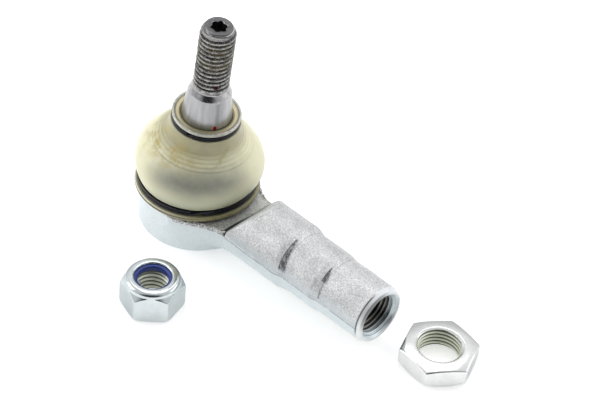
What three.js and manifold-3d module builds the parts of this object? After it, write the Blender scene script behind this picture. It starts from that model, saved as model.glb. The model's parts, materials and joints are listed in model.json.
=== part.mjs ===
// Tie rod end: a forged housing with a ball stud, its seats and dust boot, and the two loose nuts.
// Millimetres, +Z up. The origin is the centre of the cover plate's flat underside, on the ball's
// vertical axis. +X runs along the shank to its threaded end. At rest the stud leans towards +X.

import * as THREE from 'three';
import { mergeVertices } from 'three/addons/utils/BufferGeometryUtils.js';
import Module from 'manifold-3d';

const wasm = await Module();
wasm.setup();

// ---------- driving dimensions ----------

const GAP = 0.3;                  // clearance between pieces that touch
const ROUND = 56;                 // facets round a large piece
const SMALL_ROUND = 36;           // facets round a small piece

// Ball joint
const BALL_Z = 18.5;              // height of the ball's centre
const BALL_R = 12.5;
const STUD_LEAN = 4.9;            // degrees that the stud leans towards +X at rest
const SEAT_WALL = 1.5;
const RUNNING_GAP = 0.15;         // between a ball seat and what it touches
const CAVITY_R = BALL_R + SEAT_WALL + 2 * RUNNING_GAP;

// Housing head
const HEAD_R = 22.7;
const HEAD_FOOT = 0.9;            // rounding of the head's lower edge
const HEAD_TOP = 16.8;            // the flat land round the boot
const COLLAR_R = 20.2;            // the raised collar that holds the boot
const COLLAR_TOP = 26.5;
const LIP_R = 11.6;               // the lip that keeps the ball in
const LIP_BELOW = 5.5;            // height of the lip's underside above the ball's centre
const MOUTH_R = 13.6;
const COVER_R = 17;
const COVER_POCKET_TOP = 3.2;
const CRIMP_R = 15.4;             // the rim that is rolled over the cover plate
const CRIMP_TOP = 0.6;

// Housing neck and shank, which run along +X
const SHANK_Z = 15.7;
const SHANK_END = 99.2;
const SHANK_R = [13.8, 12.6, 11.9];
const SHANK_FROM = 27;
const STEP_ONE = [55.8, 59.8];
const STEP_TWO = [74, 77.8];
const END_CHAMFER = 2.2;
const RAMP_FOOT_X = 28.4;         // where the land meets the ramp up to the shank
const RAMP_HEAD_X = 38.4;
const NECK_HEEL_X = 30;           // how far the neck keeps the head's depth
const NECK_END_X = 42;
const BORE_R = 8.2;               // minor diameter of the rod thread, M18 x 1.5
const BORE_DEPTH = 44;
const BORE_MOUTH_R = 9.9;

// Stud, measured along its own axis from the ball's centre
const NECK_R = 7.2;
const FLARE_FROM = 24;
const FLARE_TO = 30.5;
const TAPER_FROM = 36.3;
const TAPER_TO = 47.8;
const TAPER_R = [9.85, 8.46];
const THREAD_FROM = 51.2;
const THREAD_R = 7;
const THREAD_TO = 77;
const TIP_AT = 79.5;
const TIP_R = 4.9;
const RECESS_R = 2.95;            // mean radius of the six-lobed key recess
const RECESS_LOBE = 0.4;
const RECESS_DEPTH = 4;

// Dust boot and what holds it
const BOOT_WALL = 1.9;
const BOOT_FOOT = [23.2, 22.4];   // [radius, height] of the curve that the skin follows
const BOOT_BULGE = [32, 39.4];
const BOOT_SHOULDER = [11.8, 40.9];
const BOOT_NECK = [13.9, 51.2];
const BOOT_LEAN_Z = [20, 32];     // the boot turns from level to the stud's lean between these
const FLANGE_R = 24.9;
const FLANGE_Z = [17.8, 19.6];
const BOTTOM_CLIP_R = [22.3, 23.9];
const BOTTOM_CLIP_Z = [19.9, 22.1];
const RING_AT = [35, 36.4];       // along the stud, like the clip below it
const RING_R = [10.6, 13.45];
const TOP_CLIP_AT = [32.9, 34.7];
const TOP_CLIP_R = [12.3, 13.6];

// Lock nut for the stud, M14, and its nylon ring
const LOCK_NUT_AT = [25.6, -47.2];
const LOCK_NUT_TURN = -16;
const LOCK_ACROSS_FLATS = 22;
const LOCK_HEX_TOP = 12;
const LOCK_TOP = 13.8;
const LOCK_COLLAR_R = 10.8;
const LOCK_TOP_CONE = [10.6, 50]; // radius where the corner chamfer starts, and its slope in degrees
const LOCK_FOOT_CONE = [11.6, 30];
const LOCK_BORE_R = 5.95;
const NYLON_R = 7.9;
const NYLON_Z = [10.3, 12.9];

// Jam nut for the rod, M18 x 1.5
const JAM_NUT_AT = [119.8, 11.6];
const JAM_NUT_TURN = -7.6;
const JAM_ACROSS_FLATS = 27;
const JAM_TOP = 8.8;
const JAM_BORE_R = 8.2;
const JAM_CONE = [13.1, 30];
const JAM_MOUTH_R = 9.1;
const JAM_MOUTH_DEPTH = 0.55;

const radians = THREE.MathUtils.degToRad;

// ---------- shared tools ----------

// A body of revolution about +Z from [radius, z] points, which run up the outside and down the inside.
function turned(outline, facets = ROUND) {
  const closed = outline[0][0] > 0 ? [...outline, outline[0]] : outline;
  const geometry = new THREE.LatheGeometry(closed.map(([r, z]) => new THREE.Vector2(r, z)), facets);
  return geometry.rotateX(Math.PI / 2);
}

// Points on an arc in the [radius, z] plane, with angles in degrees from +radius.
function arc(centreR, centreZ, radius, fromAngle, toAngle, steps) {
  return Array.from({ length: steps + 1 }, (_, i) => {
    const angle = radians(fromAngle + (toAngle - fromAngle) * (i / steps));
    return [centreR + radius * Math.cos(angle), centreZ + radius * Math.sin(angle)];
  });
}

// A three.js geometry as a solid that can be cut and joined.
function solid(geometry) {
  const plain = geometry.clone();
  plain.deleteAttribute('normal');
  plain.deleteAttribute('uv');
  const merged = mergeVertices(plain, 1e-4);
  const index = merged.index.array;
  const corners = [];
  for (let i = 0; i < index.length; i += 3) {
    const [a, b, c] = [index[i], index[i + 1], index[i + 2]];
    if (a !== b && b !== c && a !== c) corners.push(a, b, c);
  }
  return new wasm.Manifold(new wasm.Mesh({
    numProp: 3,
    vertProperties: new Float32Array(merged.attributes.position.array),
    triVerts: new Uint32Array(corners),
  }));
}

// The reverse: a solid back as a three.js geometry.
function geometryOf(body) {
  const mesh = body.getMesh();
  const geometry = new THREE.BufferGeometry();
  geometry.setAttribute('position', new THREE.BufferAttribute(mesh.vertProperties, 3));
  geometry.setIndex(new THREE.BufferAttribute(mesh.triVerts, 1));
  geometry.computeVertexNormals();
  return geometry;
}

function extruded(shape, height, curveSegments = 12) {
  return new THREE.ExtrudeGeometry(shape, { depth: height, bevelEnabled: false, curveSegments });
}

function piece(name, geometry, colour, roughness, metalness) {
  const material = new THREE.MeshStandardMaterial({ color: colour, roughness, metalness });
  const mesh = new THREE.Mesh(geometry, material);
  mesh.name = name;
  return mesh;
}

// ---------- housing ----------

function headSolid() {
  const outside = [
    [CRIMP_R, 0],
    [HEAD_R - HEAD_FOOT, 0],
    [HEAD_R - 0.3, 0.5 * HEAD_FOOT],
    [HEAD_R, HEAD_FOOT],
    [HEAD_R, HEAD_TOP],
    [COLLAR_R, HEAD_TOP],
    [COLLAR_R, COLLAR_TOP - 1],
    [COLLAR_R - 1, COLLAR_TOP],
  ];
  const lipAngle = THREE.MathUtils.radToDeg(Math.asin(LIP_BELOW / CAVITY_R));
  const inside = [
    [MOUTH_R, COLLAR_TOP],
    [LIP_R, BALL_Z + LIP_BELOW + 1],
    [LIP_R, BALL_Z + LIP_BELOW],
    ...arc(0, BALL_Z, CAVITY_R, lipAngle, 0, 5),
    [CAVITY_R, COVER_POCKET_TOP],
    [COVER_R + GAP, COVER_POCKET_TOP],
    [COVER_R + GAP, CRIMP_TOP],
    [CRIMP_R, CRIMP_TOP],
  ];
  return solid(turned([...outside, ...inside]));
}

// The neck narrows from the head to the shank. Its section is an ellipse, cut off at the land.
function neckSolid() {
  const stations = 12;
  const [thick] = SHANK_R;
  const flank = new THREE.CubicBezierCurve(
    new THREE.Vector2(0, HEAD_R - 0.2),
    new THREE.Vector2(18, HEAD_R - 0.8),
    new THREE.Vector2(19, thick - 2.2),
    new THREE.Vector2(NECK_END_X, thick - 0.15),
  );
  const bar = new THREE.CylinderGeometry(1, 1, 1, SMALL_ROUND, stations);
  bar.rotateZ(-Math.PI / 2).translate(0.5, 0, 0);
  const position = bar.attributes.position;
  for (let i = 0; i < position.count; i += 1) {
    const { x, y: halfWidth } = flank.getPoint(position.getX(i));
    const rise = THREE.MathUtils.smoothstep(x, NECK_HEEL_X, NECK_END_X);
    const depth = THREE.MathUtils.lerp(SHANK_Z - 0.05, thick - 0.15, rise);
    position.setXYZ(i, x, position.getY(i) * halfWidth, SHANK_Z + position.getZ(i) * depth);
  }
  const hub = CAVITY_R + 4;
  const top = SHANK_Z + 2 * thick;
  const middle = solid(turned([[0, -1], [hub, -1], [hub, top], [0, top]]));
  return solid(bar).subtract(middle).subtract(aboveLandSolid());
}

// Everything above the land, up to the ramp that rises to the shank.
function aboveLandSolid() {
  const top = SHANK_Z + SHANK_R[0] + 0.1;
  const profile = new THREE.Shape();
  profile.moveTo(-5, HEAD_TOP);
  profile.lineTo(RAMP_FOOT_X, HEAD_TOP);
  profile.lineTo(RAMP_HEAD_X, top);
  profile.lineTo(RAMP_HEAD_X, top + 10);
  profile.lineTo(-5, top + 10);
  profile.closePath();
  const width = 2.2 * HEAD_R;
  return solid(extruded(profile, width).rotateX(Math.PI / 2).translate(0, width / 2, 0));
}

function shankSolid() {
  const [thick, middle, thin] = SHANK_R;
  const bar = turned([
    [0, SHANK_FROM],
    [thick - 3, SHANK_FROM],
    [thick, SHANK_FROM + 6],
    [thick, STEP_ONE[0]],
    [middle, STEP_ONE[1]],
    [middle, STEP_TWO[0]],
    [thin, STEP_TWO[1]],
    [thin, SHANK_END - END_CHAMFER],
    [thin - 1.1, SHANK_END],
    [0, SHANK_END],
  ]);
  bar.rotateY(Math.PI / 2).translate(0, 0, SHANK_Z);
  return solid(bar).subtract(aboveLandSolid());
}

function rodBoreSolid() {
  const from = SHANK_END - BORE_DEPTH;
  const outline = [
    [0, from - BORE_R * 0.58],
    [BORE_R, from],
    [BORE_R, SHANK_END - (BORE_MOUTH_R - BORE_R)],
    [BORE_MOUTH_R, SHANK_END],
    [BORE_MOUTH_R, SHANK_END + 1],
    [0, SHANK_END + 1],
  ];
  return solid(turned(outline, SMALL_ROUND).rotateY(Math.PI / 2).translate(0, 0, SHANK_Z));
}

function housing() {
  const shank = shankSolid().subtract(rodBoreSolid());
  return piece('housing', geometryOf(headSolid().add(neckSolid()).add(shank)), 0xd6dadb, 0.5, 0.75);
}

// ---------- inside the housing ----------

// Each ball seat is a shell between the ball and the cavity, above or below the ball's middle.
function upperBallSeat() {
  const outer = CAVITY_R - RUNNING_GAP;
  const inner = BALL_R + RUNNING_GAP;
  const top = 21;
  const outline = [...arc(0, BALL_Z, outer, 1, top, 4), ...arc(0, BALL_Z, inner, top, 1, 4)];
  return piece('upper_ball_seat', turned(outline, SMALL_ROUND), 0xe9e4d4, 0.45, 0);
}

function lowerBallSeat() {
  const outer = CAVITY_R - RUNNING_GAP;
  const inner = BALL_R + RUNNING_GAP;
  const foot = 6.4;
  const outline = [
    [7, foot],
    [outer, foot],
    [outer, BALL_Z - 0.2],
    ...arc(0, BALL_Z, inner, -1, -50, 5),
  ];
  return piece('lower_ball_seat', turned(outline, SMALL_ROUND), 0xe9e4d4, 0.45, 0);
}

// A coned disc spring presses the lower seat against the ball.
function preloadSpring() {
  const [inner, outer] = [6.4, 13.6];
  const [low, high, thick] = [3.2, 5, 0.95];
  const outline = [[inner, low], [outer, high], [outer, high + thick], [inner, low + thick]];
  return piece('preload_spring', turned(outline, SMALL_ROUND), 0x5d6064, 0.4, 0.85);
}

// A pressed plate closes the housing. Its middle stands out level with the rolled rim.
function coverPlate() {
  const outline = [
    [0, 0],
    [10.6, 0],
    [12, 0.9],
    [COVER_R, 0.9],
    [COVER_R, 2.6],
    [11.4, 2.6],
    [10, 1.7],
    [0, 1.7],
  ];
  return piece('cover_plate', turned(outline, SMALL_ROUND), 0xc9ccd0, 0.45, 0.8);
}

// ---------- stud ----------

function keyRecessSolid() {
  const outline = new THREE.Shape();
  const steps = 36;
  for (let i = 0; i < steps; i += 1) {
    const angle = (i / steps) * 2 * Math.PI;
    const r = RECESS_R + RECESS_LOBE * Math.cos(6 * angle);
    if (i === 0) outline.moveTo(r, 0);
    else outline.lineTo(r * Math.cos(angle), r * Math.sin(angle));
  }
  outline.closePath();
  return solid(extruded(outline, RECESS_DEPTH + 1).translate(0, 0, TIP_AT - RECESS_DEPTH));
}

// Made with the ball's centre at its origin.
function ballStud() {
  const flat = -72;
  const neckAngle = THREE.MathUtils.radToDeg(Math.acos(NECK_R / BALL_R));
  const ball = arc(0, 0, BALL_R, flat, neckAngle, 14);
  const outline = [
    [0, ball[0][1]],
    ...ball,
    [NECK_R, FLARE_FROM],
    [TAPER_R[0], FLARE_TO],
    [TAPER_R[0], TAPER_FROM],
    [TAPER_R[1], TAPER_TO],
    [THREAD_R - 0.1, THREAD_FROM],
    [THREAD_R, THREAD_FROM],
    [THREAD_R, THREAD_TO],
    [TIP_R, TIP_AT],
    [0, TIP_AT],
  ];
  const body = solid(turned(outline, SMALL_ROUND)).subtract(keyRecessSolid());
  return piece('ball_stud', geometryOf(body), 0xa9abab, 0.35, 0.9);
}

// ---------- dust boot and its fastenings ----------

// The boot's foot is level and its head leans with the stud, so its rings turn steadily in between.
function leanWithStud(geometry) {
  const position = geometry.attributes.position;
  const centre = new THREE.Vector3(0, 0, BALL_Z);
  const acrossShank = new THREE.Vector3(0, 1, 0);
  const point = new THREE.Vector3();
  for (let i = 0; i < position.count; i += 1) {
    point.fromBufferAttribute(position, i);
    const share = THREE.MathUtils.smoothstep(point.z, ...BOOT_LEAN_Z);
    point.sub(centre).applyAxisAngle(acrossShank, radians(STUD_LEAN) * share).add(centre);
    position.setXYZ(i, point.x, point.y, point.z);
  }
  return geometry;
}

// The skin's outside, or its inside where inset is the wall's thickness.
function bootSkin(inset) {
  const corners = [BOOT_FOOT, BOOT_BULGE, BOOT_SHOULDER, BOOT_NECK];
  const skin = new THREE.CubicBezierCurve(...corners.map(([r, z]) => new THREE.Vector2(r - inset, z)));
  return skin.getPoints(12).map((p) => [p.x, p.y]);
}

function dustBoot() {
  const footOut = BOTTOM_CLIP_R[0] - GAP;
  const footIn = COLLAR_R + GAP;
  const neckOut = TOP_CLIP_R[0] - GAP;
  const bore = TAPER_R[0] + GAP;
  const clipLow = BALL_Z + TOP_CLIP_AT[0] - GAP;
  const lipTop = BALL_Z + RING_AT[0] - GAP;
  const outline = [
    [footIn, FLANGE_Z[0]],
    [FLANGE_R, FLANGE_Z[0]],
    [FLANGE_R, FLANGE_Z[1]],
    [footOut, FLANGE_Z[1]],
    [footOut, BOTTOM_CLIP_Z[1] + GAP],
    ...bootSkin(0).slice(0, -1),
    [BOOT_NECK[0] - 0.3, clipLow - 0.5],
    [neckOut, clipLow],
    [neckOut, lipTop],
    [bore, lipTop],
    [bore, clipLow - BOOT_WALL],
    ...bootSkin(BOOT_WALL).slice(1, -1).reverse(),
    [footIn, BOTTOM_CLIP_Z[1] + 1],
  ];
  const geometry = leanWithStud(turned(outline, ROUND));
  return piece('dust_boot', geometry, 0xdcd8b0, 0.45, 0);
}

function bottomClip() {
  const [inner, outer] = BOTTOM_CLIP_R;
  const [low, high] = BOTTOM_CLIP_Z;
  const outline = [[inner, low], [outer, low], [outer - 0.5, high], [inner, high]];
  return piece('boot_bottom_clip', turned(outline, ROUND), 0x17181f, 0.35, 0.4);
}

function topClip() {
  const [inner, outer] = TOP_CLIP_R;
  const [low, high] = TOP_CLIP_AT;
  const outline = [[inner, low], [outer, low], [outer, high], [inner, high]];
  return piece('boot_top_clip', turned(outline, SMALL_ROUND), 0x17181f, 0.35, 0.4);
}

// A pressed ring with a raised rim backs the boot's upper lip on the stud.
function supportRing() {
  const [inner, outer] = RING_R;
  const [low, high] = RING_AT;
  const outline = [
    [inner, low],
    [outer - 0.4, low],
    [outer, low + 0.4],
    [outer, high],
    [outer - 0.7, high],
    [outer - 1.3, low + 0.7],
    [inner, low + 0.7],
  ];
  return piece('boot_support_ring', turned(outline, SMALL_ROUND), 0x9aa19c, 0.4, 0.8);
}

// ---------- loose nuts ----------

// A hexagonal bar trimmed by a turned outline, which gives the corners a cone at each end.
function hexSolid(acrossFlats, height, turn, topCone, footCone) {
  const corner = acrossFlats / Math.sqrt(3);
  const bar = new THREE.CylinderGeometry(corner, corner, height, 6).rotateX(Math.PI / 2);
  bar.rotateZ(radians(turn + 30)).translate(0, 0, height / 2);
  const drop = ([start, slope]) => (corner - start) * Math.tan(radians(slope));
  const trim = turned([
    [0, 0],
    [footCone[0], 0],
    [corner, drop(footCone)],
    [corner, height - drop(topCone)],
    [topCone[0], height],
    [0, height],
  ]);
  return solid(bar).intersect(solid(trim));
}

function lockNut() {
  const hex = hexSolid(LOCK_ACROSS_FLATS, LOCK_HEX_TOP, LOCK_NUT_TURN, LOCK_TOP_CONE, LOCK_FOOT_CONE);
  const collar = solid(turned([
    [0, LOCK_HEX_TOP - 2],
    [LOCK_COLLAR_R, LOCK_HEX_TOP - 2],
    [LOCK_COLLAR_R, LOCK_HEX_TOP],
    [LOCK_COLLAR_R - 0.3, LOCK_TOP - 0.9],
    [LOCK_COLLAR_R - 0.9, LOCK_TOP - 0.25],
    [LOCK_COLLAR_R - 1.9, LOCK_TOP],
    [0, LOCK_TOP],
  ], SMALL_ROUND));
  const bore = solid(turned([
    [0, -1],
    [LOCK_BORE_R + 1, -1],
    [LOCK_BORE_R + 1, 0],
    [LOCK_BORE_R, 1],
    [LOCK_BORE_R, NYLON_Z[0] - GAP],
    [NYLON_R + GAP, NYLON_Z[0] - GAP],
    [NYLON_R + GAP, NYLON_Z[1] + GAP],
    [NYLON_R - 0.5, NYLON_Z[1] + GAP],
    [NYLON_R - 0.5, LOCK_TOP + 1],
    [0, LOCK_TOP + 1],
  ], SMALL_ROUND));
  return piece('lock_nut', geometryOf(hex.add(collar).subtract(bore)), 0xe4e7e8, 0.2, 0.95);
}

function nylonInsert() {
  const [low, high] = NYLON_Z;
  const outline = [[LOCK_BORE_R, low], [NYLON_R, low], [NYLON_R, high], [LOCK_BORE_R, high]];
  return piece('nylon_insert', turned(outline, SMALL_ROUND), 0x2f3f8f, 0.4, 0);
}

function jamNut() {
  const hex = hexSolid(JAM_ACROSS_FLATS, JAM_TOP, JAM_NUT_TURN, JAM_CONE, JAM_CONE);
  const bore = solid(turned([
    [0, -1],
    [JAM_MOUTH_R, -1],
    [JAM_MOUTH_R, 0],
    [JAM_BORE_R, JAM_MOUTH_DEPTH],
    [JAM_BORE_R, JAM_TOP - JAM_MOUTH_DEPTH],
    [JAM_MOUTH_R, JAM_TOP],
    [JAM_MOUTH_R, JAM_TOP + 1],
    [0, JAM_TOP + 1],
  ], SMALL_ROUND));
  return piece('jam_nut', geometryOf(hex.subtract(bore)), 0xe4e7e8, 0.25, 0.95);
}

// ---------- assembly ----------

function placed(position, parts) {
  const group = new THREE.Group();
  group.position.set(...position);
  group.add(...parts);
  return group;
}

const studAxis = placed([0, 0, BALL_Z], [ballStud()]);
const bootHead = new THREE.Group();
bootHead.add(supportRing(), topClip());
studAxis.add(bootHead);
studAxis.rotation.y = radians(STUD_LEAN);

const tieRodEnd = new THREE.Group();
tieRodEnd.add(
  housing(),
  upperBallSeat(),
  lowerBallSeat(),
  preloadSpring(),
  coverPlate(),
  studAxis,
  dustBoot(),
  bottomClip(),
  placed([...LOCK_NUT_AT, 0], [lockNut(), nylonInsert()]),
  placed([...JAM_NUT_AT, 0], [jamNut()]),
);

export default tieRodEnd;
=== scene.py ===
"""A tie rod end with its two loose nuts on a pale studio floor.

Shapes are worked out in millimetres and become metres when a mesh is made. The places of the ball,
the shank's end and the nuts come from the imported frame.
"""
import json
import math

import bpy
import numpy as np
from mathutils import Matrix, Vector


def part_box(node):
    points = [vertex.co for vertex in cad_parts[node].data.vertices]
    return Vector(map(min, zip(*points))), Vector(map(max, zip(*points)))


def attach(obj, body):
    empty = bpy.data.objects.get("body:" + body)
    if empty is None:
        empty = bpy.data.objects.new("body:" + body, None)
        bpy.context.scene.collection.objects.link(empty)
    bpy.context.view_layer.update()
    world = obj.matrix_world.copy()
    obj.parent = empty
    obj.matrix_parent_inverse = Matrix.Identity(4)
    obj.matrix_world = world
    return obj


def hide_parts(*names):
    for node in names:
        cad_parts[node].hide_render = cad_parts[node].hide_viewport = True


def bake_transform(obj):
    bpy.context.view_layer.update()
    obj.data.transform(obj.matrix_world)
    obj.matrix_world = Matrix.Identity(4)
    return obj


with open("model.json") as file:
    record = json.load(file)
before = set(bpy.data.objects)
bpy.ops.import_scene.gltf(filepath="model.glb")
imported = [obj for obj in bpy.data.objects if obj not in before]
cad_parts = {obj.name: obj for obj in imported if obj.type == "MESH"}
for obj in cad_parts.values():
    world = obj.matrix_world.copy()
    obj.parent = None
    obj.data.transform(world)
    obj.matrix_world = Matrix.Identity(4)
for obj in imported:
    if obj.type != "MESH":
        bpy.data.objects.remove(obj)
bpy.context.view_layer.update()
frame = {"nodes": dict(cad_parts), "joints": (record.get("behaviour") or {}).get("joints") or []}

MM = 0.001
TAU = 2 * math.pi

# ---------- places taken from the frame ----------


def box_mm(node):
    """Lowest and highest corner of a CAD node."""
    low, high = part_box(node)
    return np.array(low) / MM, np.array(high) / MM


def middle_mm(node):
    low, high = box_mm(node)
    return (low + high) / 2


JOINTS = {joint["name"]: joint for joint in frame["joints"]}
BALL = np.array(JOINTS["stud_spin"]["pos_m"]) / MM
STUD_AXIS = np.array(JOINTS["stud_spin"]["axis"])
LEAN = math.atan2(STUD_AXIS[0], STUD_AXIS[2])
SHANK_END = box_mm("housing")[1][0]
LOCK_NUT_AT = middle_mm("lock_nut")
JAM_NUT_AT = middle_mm("jam_nut")

# ---------- driving dimensions ----------

HOUSING_CELL = (0.38, 0.9)
NUT_CELL = (0.22, 0.4)

# Housing
HEAD_R = 22.7
HEAD_TOP = 16.8
COLLAR_R = 20.2
COLLAR_TOP = 26.5
CAVITY_R = 14.3
LIP_R = 11.6
LIP_Z = BALL[2] + 5.5
MOUTH_R = 13.6
COVER_R = 17
COVER_POCKET_TOP = 3.2
CRIMP_R = 15.4
CRIMP_TOP = 0.6
SHANK_Z = 15.7
SHANK_R = (13.8, 12.6, 11.9)
STEP_ONE = (55.6, 59.6)
STEP_TWO = (73.8, 77.8)
SHANK_FROM = 27
RAMP_FOOT = (28.4, HEAD_TOP)
RAMP_HEAD = (38.4, SHANK_Z + SHANK_R[0] + 0.1)
NECK_HEEL_X = 30
NECK_END_X = 42
PARTING_Z = 16.4
FORGED_TO = SHANK_END - 2.2         # past here the shank is machined
BORE_FROM = SHANK_END - 44
ROD_THREAD = (9.05, 8.1, 1.75)      # outer radius, inner radius, pitch
BORE_MOUTH_R = 9.9

# Stud, along its own axis from the ball's centre
BALL_R = 12.5
NECK_R = 7.2
FLARE = (24, 30.5)
TAPER = (36.3, 47.8)
TAPER_R = (9.85, 8.46)
THREAD = (51.1, 78.1)
STUD_THREAD = (7, 5.85, 2)
TIP_AT = 79.45
TIP_R = 5.2
TIP_SLOPE = 0.62
RECESS_R = 2.95
RECESS_LOBE = 0.3
RECESS_DEPTH = 4

# Dust boot and its fastenings
BOOT_WALL = 1.9
# Radius and height of the control points of the outline above the boot's foot
BOOT_CURVE = ((23.2, 22.4), (32, 39.4), (11.8, 40.9), (13.9, 51.2))
BOOT_LEAN_Z = (20, 32)              # from upright to leaning with the stud
BOOT_SKIN_Z = (22.5, 50.6)          # the outer skin follows the curve between these heights
BOOT_INNER_Z = (24.0, 47.5)
BOOT_SEAM_Z = 40.7                  # the lower and the upper skin meet in a moulding groove
BOOT_RING_DEPTH = 0.09
BOOT_RINGS = 5
BOOT_RING_GAP = 1.75
FLANGE_R = 24.9
FLANGE_Z = (17.8, 19.6)
FLANGE_LIGHT_AND_SHADE_LINES = ((0.15, 0.55), (0.65, 1.25), (1.4, 1.75))   # painted highlight, painted shade and painted highlight, above its foot
BOTTOM_CLIP_R = (22.35, 23.85)
BOTTOM_CLIP_Z = (19.95, 22.05)
RING_AT = (35, 36.4)
RING_R = (10.6, 13.45)
TOP_CLIP_AT = (32.95, 34.65)
TOP_CLIP_R = (12.35, 13.55)

# Nuts
LOCK_TURN = -16
LOCK_FLATS = 22
LOCK_HEX_TOP = 12
LOCK_TOP = 13.8
LOCK_COLLAR_R = 10.8
LOCK_RIM_R = 8.75                   # the rolled rim's crest
LOCK_RIM_FROM = 11.85
LOCK_CONES = ((10.6, 50), (11.6, 30))   # radius and slope in degrees, at the top and the foot
LOCK_THREAD = (7.05, 5.95, 2)
LOCK_TONES = ((0.56, 0.615, 0.62), (0.62, 0.665, 0.67))
LOCK_MOUTH_R = 7.6
NYLON_R = 7.9
NYLON_HOLE_R = 5.95
NYLON_Z = (10.3, 12.9)
JAM_TURN = -7.6
JAM_FLATS = 27
JAM_TOP = 8.8
JAM_CONES = ((12.2, 18), (13.1, 30))
NUT_EDGE = 0.8                      # how round the arris is where a cone meets the flats
JAM_THREAD = ROD_THREAD
JAM_TONES = ((0.70, 0.72, 0.70), (0.77, 0.78, 0.765))
JAM_MOUTH_R = 9.1
NUT_SINK_SLOPE = 1.7                # a 120 degree countersink
NUT_EDGE_TINT = (0.62, 0.64, 0.65, 1)   # dulls the plating at a glancing angle
SLEEVE_GAP = 0.12                   # a nut's hole stands back this far behind its threaded sleeve
SLEEVE_WALL = 0.35

# Light and floor
FLOOR_HALF = 30000
DARK_SIDE = (0.60, -0.70, 0.38)     # the photographer's side of the room, as a direction
# The room's brightness from its far side, at -1, to the photographer's side, at 1
SKY_SHADES = (
    (-0.98, 0.52), (-0.7, 0.66), (-0.3, 1.08), (0.2, 0.86), (0.68, 0.78),
    (0.80, 0.48), (0.88, 0.12), (0.93, 0.02), (0.99, 0.01),
)

# Camera
CAMERA_AIM = (27.3, 31.5, 7.1)
CAMERA_AWAY = 831
CAMERA_AZIMUTH = 40.4
CAMERA_ELEVATION = 41.5
CAMERA_ROLL = 5.8
CAMERA_LENS = 124.4

# ---------- meshes ----------


def make_object(name, points, faces, materials, slots=None):
    """A smooth mesh. slots numbers the material of each face."""
    mesh = bpy.data.meshes.new(name)
    mesh.from_pydata((np.asarray(points) * MM).tolist(), [], [list(f) for f in faces])
    for material in materials:
        mesh.materials.append(material)
    if slots is not None:
        mesh.polygons.foreach_set("material_index", slots.astype(np.int32))
    mesh.polygons.foreach_set("use_smooth", np.ones(len(mesh.polygons), bool))
    mesh.validate()
    mesh.update()
    obj = bpy.data.objects.new(name, mesh)
    bpy.context.scene.collection.objects.link(obj)
    return obj


def grid_faces(rows, columns, closed):
    """Quads of a grid that wraps round its columns, and round its rows too when closed."""
    row = np.arange(rows if closed else rows - 1)[:, None]
    column = np.arange(columns)
    across = (column + 1) % columns
    above = (row + 1) % rows
    corners = (
        row * columns + column,
        row * columns + across,
        above * columns + across,
        above * columns + column,
    )
    return np.stack(corners, -1).reshape(-1, 4)


def turned(rows, columns, closed=True):
    """Points and faces of a turned surface. rows holds a (radius, height) pair for each ring, and its
    radius may be one value for each facet. An open surface gets a pole at each end."""
    angle = np.arange(columns) * TAU / columns
    radius = np.array([np.broadcast_to(r, columns) for r, _ in rows], float)
    height = np.array([np.full(columns, z) for _, z in rows], float)
    points = np.stack([radius * np.cos(angle), radius * np.sin(angle), height], -1).reshape(-1, 3)
    faces = grid_faces(len(radius), columns, closed).tolist()
    if closed:
        return points, faces
    first, last = len(points), len(points) + 1
    poles = [[0, 0, height[0, 0]], [0, 0, height[-1, 0]]]
    top_ring = (len(radius) - 1) * columns
    for i in range(columns):
        beside = (i + 1) % columns
        faces.append([first, beside, i])
        faces.append([last, top_ring + i, top_ring + beside])
    return np.vstack([points, poles]), faces


def fillet(before, corner, after, size, bends):
    """Points on the rounded corner between two straight runs."""
    back, ahead = before - corner, after - corner
    start, end = (
        corner + run / np.linalg.norm(run) * min(size, 0.45 * np.linalg.norm(run))
        for run in (back, ahead)
    )
    return [
        (1 - t) ** 2 * start + 2 * t * (1 - t) * corner + t**2 * end
        for t in np.linspace(0, 1, bends)
    ]


def rounded(corners, step=0.6):
    """A closed outline from (radius, height, rounding) corners, as dense points."""
    corners = np.array(corners, float)
    outline = []
    for i, size in enumerate(corners[:, 2]):
        after = corners[(i + 1) % len(corners), :2]
        outline += fillet(corners[i - 1, :2], corners[i, :2], after, size, 5 if size else 1)
    return spaced(np.array(outline), step, True)


def rounded_line(corners, step=0.8):
    """An open outline from (radius, height, rounding) corners."""
    corners = np.array(corners, float)
    line = [corners[0, :2]]
    for i in range(1, len(corners) - 1):
        line += fillet(corners[i - 1, :2], corners[i, :2], corners[i + 1, :2], corners[i, 2], 6)
    line.append(corners[-1, :2])
    return [tuple(p) for p in spaced(np.array(line), step)]


def spaced(points, step, closed=False):
    """The same line with no gap longer than step."""
    ends = np.roll(points, -1, 0) if closed else points[1:]
    starts = points if closed else points[:-1]
    line = []
    for start, end in zip(starts, ends):
        parts = max(1, math.ceil(np.linalg.norm(end - start) / step))
        line.extend(start + (end - start) * k / parts for k in range(parts))
    if not closed:
        line.append(points[-1])
    return np.array(line)


def smoothstep(low, high, value):
    t = np.clip((value - low) / (high - low), 0, 1)
    return t * t * (3 - 2 * t)


def leaned(points, share=1.0):
    """Points made upright about the ball's vertical axis, turned to the stud's lean."""
    points = np.asarray(points) - BALL
    turn = LEAN * share
    x = points[:, 0] * np.cos(turn) + points[:, 2] * np.sin(turn)
    z = -points[:, 0] * np.sin(turn) + points[:, 2] * np.cos(turn)
    return np.stack([x, points[:, 1], z], 1) + BALL


def on_stud(points):
    """Points measured along the stud from the ball's centre, put where the stud is."""
    return leaned(np.asarray(points) + BALL)


def along_x(points):
    """A turned shape about +Z, laid along the shank's axis."""
    x, y, z = np.asarray(points).T
    return np.stack([z, y, SHANK_Z - x], 1)


def joined(parts):
    """Several (points, faces) as one."""
    points, faces, offset = [], [], 0
    for part_points, part_faces in parts:
        points.append(np.asarray(part_points))
        faces.extend([[v + offset for v in face] for face in part_faces])
        offset += len(part_points)
    return np.vstack(points), faces


# ---------- distance fields ----------


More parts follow.
